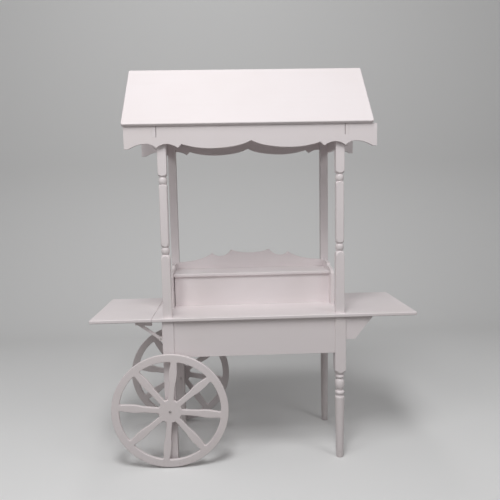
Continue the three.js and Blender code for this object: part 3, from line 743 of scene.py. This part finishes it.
def leg_profile(high, half):
    """Profile of the turned front leg, from the foot up: radius and height."""
    full = 0.0258
    neck = 0.0172
    collar_neck = 0.021
    collar_top = 0.339
    low_ring = (0.3475, 0.3675)
    ball = (0.378, 0.4305)
    high_ring = (0.4375, 0.4535)
    cove = (0.4555, 0.459)
    square = 0.474
    return [
        *foot_profile(),
        spot(full * 0.98, collar_top - 0.021),
        *bend(
            spot(full * 0.99, collar_top - 0.016),
            spot(full * 1.03, collar_top - 0.003),
            spot(collar_neck, collar_top),
        ),
        spot(collar_neck, low_ring[0] - 0.001),
        *round_bead(*low_ring, neck * 1.15, full * 0.98),
        spot(neck, low_ring[1] + 0.001),
        spot(neck, ball[0] - 0.0015),
        *round_bead(*ball, neck * 1.08, full * 0.985),
        spot(neck, ball[1] + 0.0015),
        spot(neck, high_ring[0] - 0.001),
        *round_bead(*high_ring, neck * 1.15, full * 0.955),
        spot(collar_neck, cove[0]),
        *bend(
            spot(collar_neck, cove[1]),
            spot(full * 1.04, cove[1] + 0.004),
            spot(half * 1.05, square),
        ),
        *bend(
            spot(half * 1.09, square + 0.001),
            spot(half * 1.25, square + 0.006),
            spot(half * 2.0, square + 0.025),
        ),
        spot(half * 2.0, high),
        spot(0.0, high),
    ]


def plain_leg_profile(high, half):
    """Profile of the plain rear leg: a square block over a round taper."""
    block_low = high - 0.192
    shoulder = 0.014
    return [
        *foot_profile(),
        spot(0.023, block_low - shoulder * 1.6),
        *bend(
            spot(0.0232, block_low - shoulder * 1.5),
            spot(half, block_low - shoulder * 0.9),
            spot(half * 1.45, block_low - shoulder * 0.1),
        ),
        spot(half * 2.0, block_low),
        spot(half * 2.0, high),
        spot(0.0, high),
    ]


def turn_node(node, profile, blanks, arris, material):
    """Stands for an upright node with a turned piece on the same axis."""
    low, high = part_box(node)
    centre = Vector(((low.x + high.x) / 2.0, (low.y + high.y) / 2.0, 0.0))
    name = f"{node}_turned"
    mesh = turned_mesh(name, profile, blanks, arris, centre)
    link_flat_piece(name, mesh, material, node_body(node), "painted_wood", (node,))


# Painted finishes: turn of the strokes, shift of the pattern, ageing, grain, and how high the
# floor's marks reach
PAINTS = {
    "paint_along_x": (UNTURNED, UNMOVED, 0.3, 0.35, 0.0),
    "paint_along_y": ((0.0, 0.0, QUARTER_TURN), (0.4, 0.7, 0.2), 0.34, 0.35, 0.0),
    "paint_upright": ((0.0, QUARTER_TURN, 0.0), (0.9, 0.3, 0.6), 0.32, 0.4, 0.0),
    "paint_leg": ((0.0, QUARTER_TURN, 0.0), (1.3, 0.8, 0.1), 0.42, 0.4, 0.16),
    "paint_wheel": (UNTURNED, (2.1, 0.5, 0.8), 0.4, 0.18, 0.12),
    "paint_metal": (UNTURNED, (0.2, 1.9, 0.4), 0.5, 0.0, 0.0),
}


class CART_OT_finishes(bpy.types.Operator):
    """Build the paints and metals of the cart"""

    bl_idname = "cart.finishes"
    bl_label = "Finishes"

    def execute(self, context):
        build_satin_paint_group()
        build_floor_scuff_group()
        build_plated_steel_group()
        for name, details in PAINTS.items():
            build_paint(name, *details)
        steel = steel_settings()
        build_steel("zinc_plate", steel.color, steel.roughness)
        build_steel("dark_bolt", steel.bolt_color, steel.roughness + BOLT_DULLING)
        return {"FINISHED"}


class CART_OT_posts(bpy.types.Operator):
    """Turn the front posts and round the edges of the rear ones"""

    bl_idname = "cart.posts"
    bl_label = "Posts"

    def execute(self, context):
        for node in ("post_front_left", "post_front_right"):
            low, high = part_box(node)
            half = (high.x - low.x) / 2.0
            shaft_low = low.z + POST_SQUARE + POST_LOW_BALL
            shaft_high = shaft_low + POST_SHAFT
            groove_play = 0.001
            blanks = (
                (low.z, shaft_low - groove_play, half),
                (shaft_low - groove_play, shaft_high + groove_play, POST_SHAFT_HALF),
                (shaft_high + groove_play, high.z, half),
            )
            profile = post_profile(low.z, high.z, half)
            turn_node(node, profile, blanks, POST_ARRIS, "paint_upright")
        for node in ("post_rear_left", "post_rear_right"):
            soften_node(node, shape_settings().timber_edge, "paint_upright", "painted_wood")
        return {"FINISHED"}


class CART_OT_legs(bpy.types.Operator):
    """Turn the right legs and round the edges of the square left ones"""

    bl_idname = "cart.legs"
    bl_label = "Legs"

    def execute(self, context):
        profiles = {"leg_front_right": leg_profile, "leg_rear_right": plain_leg_profile}
        for node, make_profile in profiles.items():
            low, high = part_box(node)
            half = (high.x - low.x) / 2.0
            blanks = ((low.z, high.z, half),)
            turn_node(node, make_profile(high.z, half), blanks, LEG_ARRIS, "paint_leg")
        for node in ("leg_front_left", "leg_rear_left"):
            soften_node(node, shape_settings().timber_edge, "paint_leg", "painted_wood")
        return {"FINISHED"}


class CART_OT_table(bpy.types.Operator):
    """Finish the table top, its flap, the aprons and the end brackets"""

    bl_idname = "cart.table"
    bl_label = "Table"

    def execute(self, context):
        edge = shape_settings().board_edge
        for node in ("table_top", "table_flap"):
            soften_node(node, edge, "paint_along_x", "painted_wood")
        for node in ("apron_front", "apron_rear", "bracket_right_front", "bracket_right_rear"):
            soften_node(node, edge, "paint_along_x", "painted_wood")
        for node in ("apron_left", "apron_right"):
            soften_node(node, edge, "paint_along_y", "painted_wood")
        return {"FINISHED"}


# Curves of the board behind the step, from its middle to its end: start, control, end
BACK_BOARD_SHARES = (
    ((0.0, 0.0), (0.16, 0.0), (0.268, 0.073)),
    ((0.268, 0.073), (0.33, -0.066), (0.427, -0.066)),
    ((0.427, -0.066), (0.49, -0.062), (0.535, 0.007)),
    ((0.535, 0.007), (0.6, -0.075), (0.74, -0.132)),
    ((0.74, -0.132), (0.86, -0.176), (1.0, -0.182)),
)


def mirrored_edge(curves, half, height, baseline):
    """An edge from its left end to its right, from curves given for its right half."""
    right = []
    for curve in curves:
        start, control, end = (spot(x * half, baseline + y * height) for x, y in curve)
        right += bend(start, control, end)
    left = [spot(-point.x, point.y) for point in reversed(right)]
    return left + right


def cut_node(node, loops, edge, material, centre=UNMOVED):
    """Stands for an upright board with one cut from outlines in X and Z, counted from centre."""
    low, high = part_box(node)
    name = f"{node}_cut"
    place = Matrix.Translation(centre) @ standing_across(low.y)
    mesh = cut_board_mesh(name, loops, high.y - low.y, edge, place)
    link_flat_piece(name, mesh, material, node_body(node), "painted_wood", (node,))


class CART_OT_step(bpy.types.Operator):
    """Finish the raised step with its cheeks and the scalloped board behind it"""

    bl_idname = "cart.step"
    bl_label = "Display step"

    def execute(self, context):
        edge = shape_settings().board_edge
        for node in ("step_front", "step_shelf"):
            soften_node(node, edge, "paint_along_x", "painted_wood")
        for node in ("cheek_left", "cheek_right"):
            soften_node(node, edge * 0.6, "paint_along_y", "painted_wood")
        low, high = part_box("back_board")
        half = (high.x - low.x) / 2.0
        height = 0.272
        outline = mirrored_edge(BACK_BOARD_SHARES, half, height, low.z + height)
        outline += [spot(half, low.z), spot(-half, low.z)]
        cut_node("back_board", [outline], edge, "paint_along_x")
        return {"FINISHED"}


# Curves of a valance's lower edge, from its middle to its end: start, control, end
VALANCE_SHARES = (
    ((0.0, 0.0), (0.09, -0.92), (0.31, -1.0)),
    ((0.31, -1.0), (0.44, -0.98), (0.55, -0.38)),
    ((0.55, -0.38), (0.562, -0.6), (0.58, -0.86)),
    ((0.58, -0.86), (0.625, -0.36), (0.665, -0.34)),
    ((0.665, -0.34), (0.715, -0.36), (0.75, -0.86)),
    ((0.75, -0.86), (0.782, -0.32), (0.825, -0.28)),
    ((0.825, -0.28), (0.9, -0.28), (0.965, -0.97)),
)


class CART_OT_valances(bpy.types.Operator):
    """Cut the scalloped valances with their slots for the gables"""

    bl_idname = "cart.valances"
    bl_label = "Valances"

    def execute(self, context):
        edge = shape_settings().board_edge
        drop = 0.037
        slot_play = 0.003
        slot_depth = 0.0526
        fit_gap = 0.0003
        gable_low, gable_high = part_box("gable_right")
        inner = gable_low.x - slot_play
        outer = gable_high.x + fit_gap
        for node in ("valance_front", "valance_rear"):
            low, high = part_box(node)
            half = (high.x - low.x) / 2.0
            slot_end = high.z - slot_depth
            outline = mirrored_edge(VALANCE_SHARES, half, drop, low.z + drop)
            outline += [spot(half, low.z), spot(half, high.z)]
            for near, far in ((outer, inner), (-inner, -outer)):
                outline += [spot(near, high.z), spot(near, slot_end)]
                outline += [spot(far, slot_end), spot(far, high.z)]
            outline += [spot(-half, high.z), spot(-half, low.z)]
            cut_node(node, [outline], edge, "paint_along_x")
        return {"FINISHED"}


class CART_OT_roof(bpy.types.Operator):
    """Finish the roof boards, the ridge rail and the gables"""

    bl_idname = "cart.roof"
    bl_label = "Roof"

    def execute(self, context):
        edge = shape_settings().board_edge
        corner = shape_settings().eave_corner
        board_depth = 0.016
        for node in ("roof_panel_front", "roof_panel_rear"):
            soften_node(
                node, edge, "paint_along_x", "painted_wood",
                shape=lambda bm: round_low_corners(bm, corner, board_depth),
            )
        soften_node("ridge_rail", edge, "paint_along_x", "painted_wood")
        for node in ("gable_left", "gable_right"):
            soften_node(node, edge * 0.8, "paint_along_y", "painted_wood")
        return {"FINISHED"}


# Wheels

# Width of a spoke at shares of its length, from the hub out: ends and controls of its curves
SPOKE_WIDTHS = (
    (0.0, 0.0285), (0.34, 0.0275), (0.46, 0.033),
    (0.58, 0.043), (0.76, 0.0395),
    (0.88, 0.037), (1.0, 0.031),
)


def window_outline(start, end, wheel_radius):
    """One window of a wheel, between two spokes that swell towards the rim."""
    steps = shape_settings().curve_steps
    rim_width = 0.039
    hub = 0.06
    fillet = 0.009
    rim = wheel_radius - rim_width
    reach = rim - fillet - hub - fillet

    def side_point(angle, sign, radius, width):
        along = math.sqrt(radius * radius - width * width / 4.0)
        return spot(
            along * math.cos(angle) - sign * width / 2.0 * math.sin(angle),
            along * math.sin(angle) + sign * width / 2.0 * math.cos(angle),
        )

    def side(angle, sign):
        corners = [
            side_point(angle, sign, hub + fillet + reach * share, width)
            for share, width in SPOKE_WIDTHS
        ]
        points = []
        for first in range(0, len(corners) - 2, 2):
            points += bend(*corners[first:first + 3])
        return points

    def rounded(first, radius, angle, last):
        corner = spot(radius * math.cos(angle), radius * math.sin(angle))
        return bend(first, corner, last, steps // 2)

    rim_corner = math.asin(SPOKE_WIDTHS[-1][1] / 2.0 / rim)
    hub_corner = math.asin(SPOKE_WIDTHS[0][1] / 2.0 / hub)
    rim_turn = rim_corner + fillet / rim
    hub_turn = hub_corner + fillet / hub / 3.0
    centre = spot(0.0, 0.0)
    rising = side(start, 1.0)
    falling = side(end, -1.0)[::-1]
    rim_arc = arc(centre, rim, start + rim_turn, end - rim_turn, steps)
    hub_arc = arc(centre, hub, end - hub_turn, start + hub_turn, steps // 2)
    return [
        *rising,
        *rounded(rising[-1], rim, start + rim_corner, rim_arc[0]),
        *rim_arc,
        *rounded(rim_arc[-1], rim, end - rim_corner, falling[0]),
        *falling,
        *rounded(falling[-1], hub, end - hub_corner, hub_arc[0]),
        *hub_arc,
        *rounded(hub_arc[-1], hub, start + hub_corner, rising[0]),
    ]


class CART_OT_wheels(bpy.types.Operator):
    """Cut the two spoked wheels"""

    bl_idname = "cart.wheels"
    bl_label = "Wheels"

    def execute(self, context):
        turns = {"wheel_front": math.radians(-6.0), "wheel_rear": math.radians(-11.0)}
        spokes = 8
        bolt_hole = 0.0044
        middle = spot(0.0, 0.0)
        for node, turn in turns.items():
            low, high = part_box(node)
            radius = (high.x - low.x) / 2.0
            loops = [arc(middle, radius, 0.0, math.tau, steps=180)]
            for index in range(spokes):
                start = turn + QUARTER_TURN + index * math.tau / spokes
                loops.append(window_outline(start, start + math.tau / spokes, radius))
            loops.append(arc(middle, bolt_hole, 0.0, math.tau, steps=32))
            centre = ((low.x + high.x) / 2.0, 0.0, (low.z + high.z) / 2.0)
            cut_node(node, loops, shape_settings().wheel_edge, "paint_wheel", centre)
        return {"FINISHED"}


class CART_OT_axles(bpy.types.Operator):
    """Finish the axle bolts, washers, spacers and nuts"""

    bl_idname = "cart.axles"
    bl_label = "Axles"

    def execute(self, context):
        edge = shape_settings().metal_edge
        for end in ("front", "rear"):
            bolt_finish = "dark_bolt" if end == "front" else "paint_metal"
            soften_node(f"axle_bolt_{end}", edge, bolt_finish, "steel")
            soften_node(f"axle_nut_{end}", edge, "paint_metal", "steel")
            soften_node(f"washer_inner_{end}", edge * 0.6, "zinc_plate", "steel")
            soften_node(f"washer_leg_{end}", edge * 0.6, "paint_metal", "steel")
            soften_node(f"wheel_spacer_{end}", edge * 2.0, "paint_wheel", "painted_wood")
        return {"FINISHED"}


# Flap hardware


def screw_mesh(name, places, radius):
    """Screw heads with a sunk round drive, at places given as a matrix each."""
    bm = bmesh.new()
    for place in places:
        earlier = set(bm.verts)
        head = bmesh.ops.create_circle(bm, cap_ends=True, radius=radius, segments=20)
        raised = bmesh.ops.extrude_face_region(bm, geom=head["verts"][0].link_faces[:])
        bmesh.ops.translate(bm, verts=moved_verts(raised), vec=(0.0, 0.0, radius * 0.12))
        inner = [item for item in raised["geom"] if isinstance(item, bmesh.types.BMFace)]
        bmesh.ops.inset_region(bm, faces=inner, thickness=radius * 0.55, depth=radius * 0.04)
        bmesh.ops.inset_region(bm, faces=inner, thickness=radius * 0.12, depth=-radius * 0.3)
        added = [vert for vert in bm.verts if vert not in earlier]
        bmesh.ops.transform(bm, matrix=place, verts=added)
    bmesh.ops.recalc_face_normals(bm, faces=bm.faces)
    return mesh_from_bmesh(name, bm)


class CART_OT_flap_hardware(bpy.types.Operator):
    """Finish the flap's hinges and folding stays, with their screws"""

    bl_idname = "cart.flap_hardware"
    bl_label = "Flap hinges and stays"

    def execute(self, context):
        edge = shape_settings().metal_edge
        for name in ("front", "middle", "rear"):
            soften_node(f"hinge_leaf_table_{name}", edge, "zinc_plate", "steel")
            soften_node(f"hinge_leaf_flap_{name}", edge, "zinc_plate", "steel")
            soften_node(f"hinge_pin_{name}", edge * 0.5, "zinc_plate", "steel")
        for name in ("front", "rear"):
            soften_node(f"stay_plate_{name}", edge, "paint_metal", "painted_steel")
            soften_node(f"stay_arm_{name}", edge, "paint_metal", "painted_steel")
            soften_node(f"stay_rail_{name}", edge, "paint_metal", "painted_steel")
            soften_node(f"stay_pin_{name}", edge, "zinc_plate", "steel")
        self.add_hinge_screws()
        self.add_plate_screws()
        return {"FINISHED"}

    def add_hinge_screws(self):
        """Three screws in each hinge leaf, heads down."""
        heads_down = Matrix.Rotation(math.pi, 4, "X")
        leaf_thickness = 0.002
        for side, body, across in (("table", "cart", 0.66), ("flap", "flap", 0.34)):
            places = []
            for name in ("front", "middle", "rear"):
                low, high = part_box(f"hinge_leaf_{side}_{name}")
                x = low.x + (high.x - low.x) * across
                for share in (0.18, 0.5, 0.82):
                    y = low.y + (high.y - low.y) * share
                    face = (x, y, high.z - leaf_thickness)
                    places.append(Matrix.Translation(face) @ heads_down)
            mesh = screw_mesh(f"hinge_screws_{side}", places, radius=0.0035)
            link_piece(f"hinge_screws_{side}", mesh, "zinc_plate", body, "steel")

    def add_plate_screws(self):
        """Three screws in each stay plate, heads outwards from the leg."""
        heads_left = Matrix.Rotation(-QUARTER_TURN, 4, "Y")
        plate_thickness = 0.003
        places = []
        for name in ("front", "rear"):
            low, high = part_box(f"stay_plate_{name}")
            y = (low.y + high.y) / 2.0
            for share in (0.1, 0.28, 0.9):
                z = low.z + (high.z - low.z) * share
                face = (high.x - plate_thickness, y, z)
                places.append(Matrix.Translation(face) @ heads_left)
        mesh = screw_mesh("stay_plate_screws", places, radius=0.004)
        link_piece("stay_plate_screws", mesh, "zinc_plate", "cart", "steel")


# Stage


def camera_matrix(stage):
    """The camera's place and turn, from its yaw, pitch and roll."""
    yaw, pitch, roll = stage.camera_yaw, stage.camera_pitch, stage.camera_roll
    ahead = Vector((
        math.sin(yaw) * math.cos(pitch), math.cos(yaw) * math.cos(pitch), math.sin(pitch),
    ))
    right = Vector((math.cos(yaw), -math.sin(yaw), 0.0))
    up = right.cross(ahead)
    across = right * math.cos(roll) + up * math.sin(roll)
    upward = up * math.cos(roll) - right * math.sin(roll)
    turn = Matrix((across, upward, -ahead)).transposed().to_4x4()
    return Matrix.Translation(stage.camera_place) @ turn


# Lamps: the setting of each one's power, its size, its place, and the point they all face
LAMPS = {
    "high_lamp": ("high_light", 1.6, (-0.5, -2.9, 8.0)),
    "key_lamp": ("key_light", 1.4, (-0.4, -2.6, 4.6)),
    "back_lamp": ("back_light", 1.4, (-0.6, 2.2, 6.8)),
    "left_lamp": ("left_light", 2.2, (-3.2, -3.2, 3.7)),
    "right_lamp": ("right_light", 2.2, (3.2, -3.2, 3.7)),
}
LAMP_TARGET = (0.0, 0.0, 1.0)


def add_lamp(name, power, size, place):
    lamp = bpy.data.lights.new(name, "AREA")
    lamp.shape = "DISK"
    lamp.size = size
    lamp.energy = power
    holder = bpy.data.objects.new(name, lamp)
    bpy.context.scene.collection.objects.link(holder)
    direction = Vector(LAMP_TARGET) - Vector(place)
    holder.location = place
    holder.rotation_euler = direction.to_track_quat("-Z", "Y").to_euler()


def seen_rays(tree):
    """1 for the rays that show a surface to the camera, straight, mirrored or through glass."""
    path = tree.nodes.new("ShaderNodeLightPath")
    rays = path.outputs
    seen = add_math(tree, "MAXIMUM", rays["Is Camera Ray"], rays["Is Glossy Ray"])
    return add_math(tree, "MAXIMUM", seen, rays["Is Transmission Ray"])


def build_backdrop_material(color, bounce):
    """A plain pale surface that keeps the object's shadow and throws little light back at it."""
    material, tree, shader, vector = new_material("pale_floor")
    cloud = add_noise(tree, vector, scale=1.5, detail=2.0)
    faint = add_range(tree, cloud, low=0.2, high=0.8, to_high=0.04)
    tint = tuple(channel * 0.94 for channel in color[:3]) + (1.0,)
    pale = add_mix(tree, faint, tuple(color), tint)
    shown = add_mix(tree, seen_rays(tree), tuple(bounce), pale)
    tree.links.new(shown, shader.inputs["Base Color"])
    shader.inputs["Roughness"].default_value = 0.9
    shader.inputs["Specular IOR Level"].default_value = 0.1
    return material


class CART_OT_stage(bpy.types.Operator):
    """Set up the camera, the floor with its backdrop, and the lamps"""

    bl_idname = "cart.stage"
    bl_label = "Stage"

    def execute(self, context):
        stage = stage_settings()
        scene = context.scene
        scene.view_settings.view_transform = "Standard"
        self.add_camera(scene, stage)
        self.add_floor(stage)
        self.add_world(scene, stage)
        for name, (power, size, place) in LAMPS.items():
            add_lamp(name, getattr(stage, power), size, place)
        return {"FINISHED"}

    def add_camera(self, scene, stage):
        camera = bpy.data.cameras.new("view_camera")
        camera.sensor_fit = "HORIZONTAL"
        camera.sensor_width = 36.0
        camera.lens = stage.lens
        camera.clip_end = 60.0
        holder = bpy.data.objects.new("view_camera", camera)
        scene.collection.objects.link(holder)
        holder.matrix_world = camera_matrix(stage)
        scene.camera = holder

    def add_floor(self, stage):
        """A floor that curves up into a backdrop."""
        bm = bmesh.new()
        reach = 9.0
        curve_start = 2.2
        curve = 1.8
        sweep = [spot(-reach, 0.0), spot(curve_start, 0.0)]
        sweep += arc(spot(curve_start, curve), curve, -QUARTER_TURN, 0.0, steps=24)[1:]
        sweep.append(spot(curve_start + curve, reach))
        verts = [bm.verts.new((-reach, point.x, point.y)) for point in sweep]
        edges = [bm.edges.new(pair) for pair in zip(verts, verts[1:])]
        widened = bmesh.ops.extrude_edge_only(bm, edges=edges)
        bmesh.ops.translate(bm, verts=moved_verts(widened), vec=(reach * 2.0, 0.0, 0.0))
        bmesh.ops.recalc_face_normals(bm, faces=bm.faces)
        mesh = mesh_from_bmesh("floor", bm)
        mesh.materials.append(build_backdrop_material(stage.floor_color, stage.floor_bounce))
        floor = bpy.data.objects.new("floor", mesh)
        bpy.context.scene.collection.objects.link(floor)

    def add_world(self, scene, stage):
        world = bpy.data.worlds.new("even_light")
        world.use_nodes = True
        tree = world.node_tree
        background = tree.nodes["Background"]
        background.inputs["Color"].default_value = (1.0, 1.0, 1.0, 1.0)
        strength = add_range(
            tree, seen_rays(tree), low=0.0, high=1.0,
            to_low=stage.sky_light, to_high=stage.backdrop_light,
        )
        tree.links.new(strength, background.inputs["Strength"])
        scene.world = world


class CART_PT_panel(bpy.types.Panel):
    """Sizes, colours and steps of the cart"""

    bl_idname = "CART_PT_panel"
    bl_label = "Candy buffet cart"
    bl_space_type = "VIEW_3D"
    bl_region_type = "UI"
    bl_category = "Cart"

    def draw(self, context):
        for operator in OPERATORS:
            self.layout.operator(operator.bl_idname)
        for settings in (shape_settings(), paint_settings(), steel_settings(), stage_settings()):
            column = self.layout.column()
            for name in settings.bl_rna.properties.keys():
                if name not in ("rna_type", "name"):
                    column.prop(settings, name)


OPERATORS = (
    CART_OT_finishes,
    CART_OT_posts,
    CART_OT_legs,
    CART_OT_table,
    CART_OT_step,
    CART_OT_valances,
    CART_OT_roof,
    CART_OT_wheels,
    CART_OT_axles,
    CART_OT_flap_hardware,
    CART_OT_stage,
)

SETTINGS = {
    "cart_shape": CartShapeSettings,
    "cart_paint": CartPaintSettings,
    "cart_steel": CartSteelSettings,
    "cart_stage": CartStageSettings,
}


def register():
    for name, settings in SETTINGS.items():
        bpy.utils.register_class(settings)
        setattr(bpy.types.Scene, name, PointerProperty(type=settings))
    for operator in OPERATORS:
        bpy.utils.register_class(operator)
    bpy.utils.register_class(CART_PT_panel)


def unregister():
    bpy.utils.unregister_class(CART_PT_panel)
    for operator in reversed(OPERATORS):
        bpy.utils.unregister_class(operator)
    for name, settings in SETTINGS.items():
        delattr(bpy.types.Scene, name)
        bpy.utils.unregister_class(settings)


def main():
    """Registers the cart and builds its pieces in order."""
    register()
    for operator in OPERATORS:
        step = getattr(bpy.ops.cart, operator.bl_idname.split(".")[1])
        if step() != {"FINISHED"}:
            raise RuntimeError(f"{operator.bl_label} did not finish")


if __name__ == "__main__":
    main()
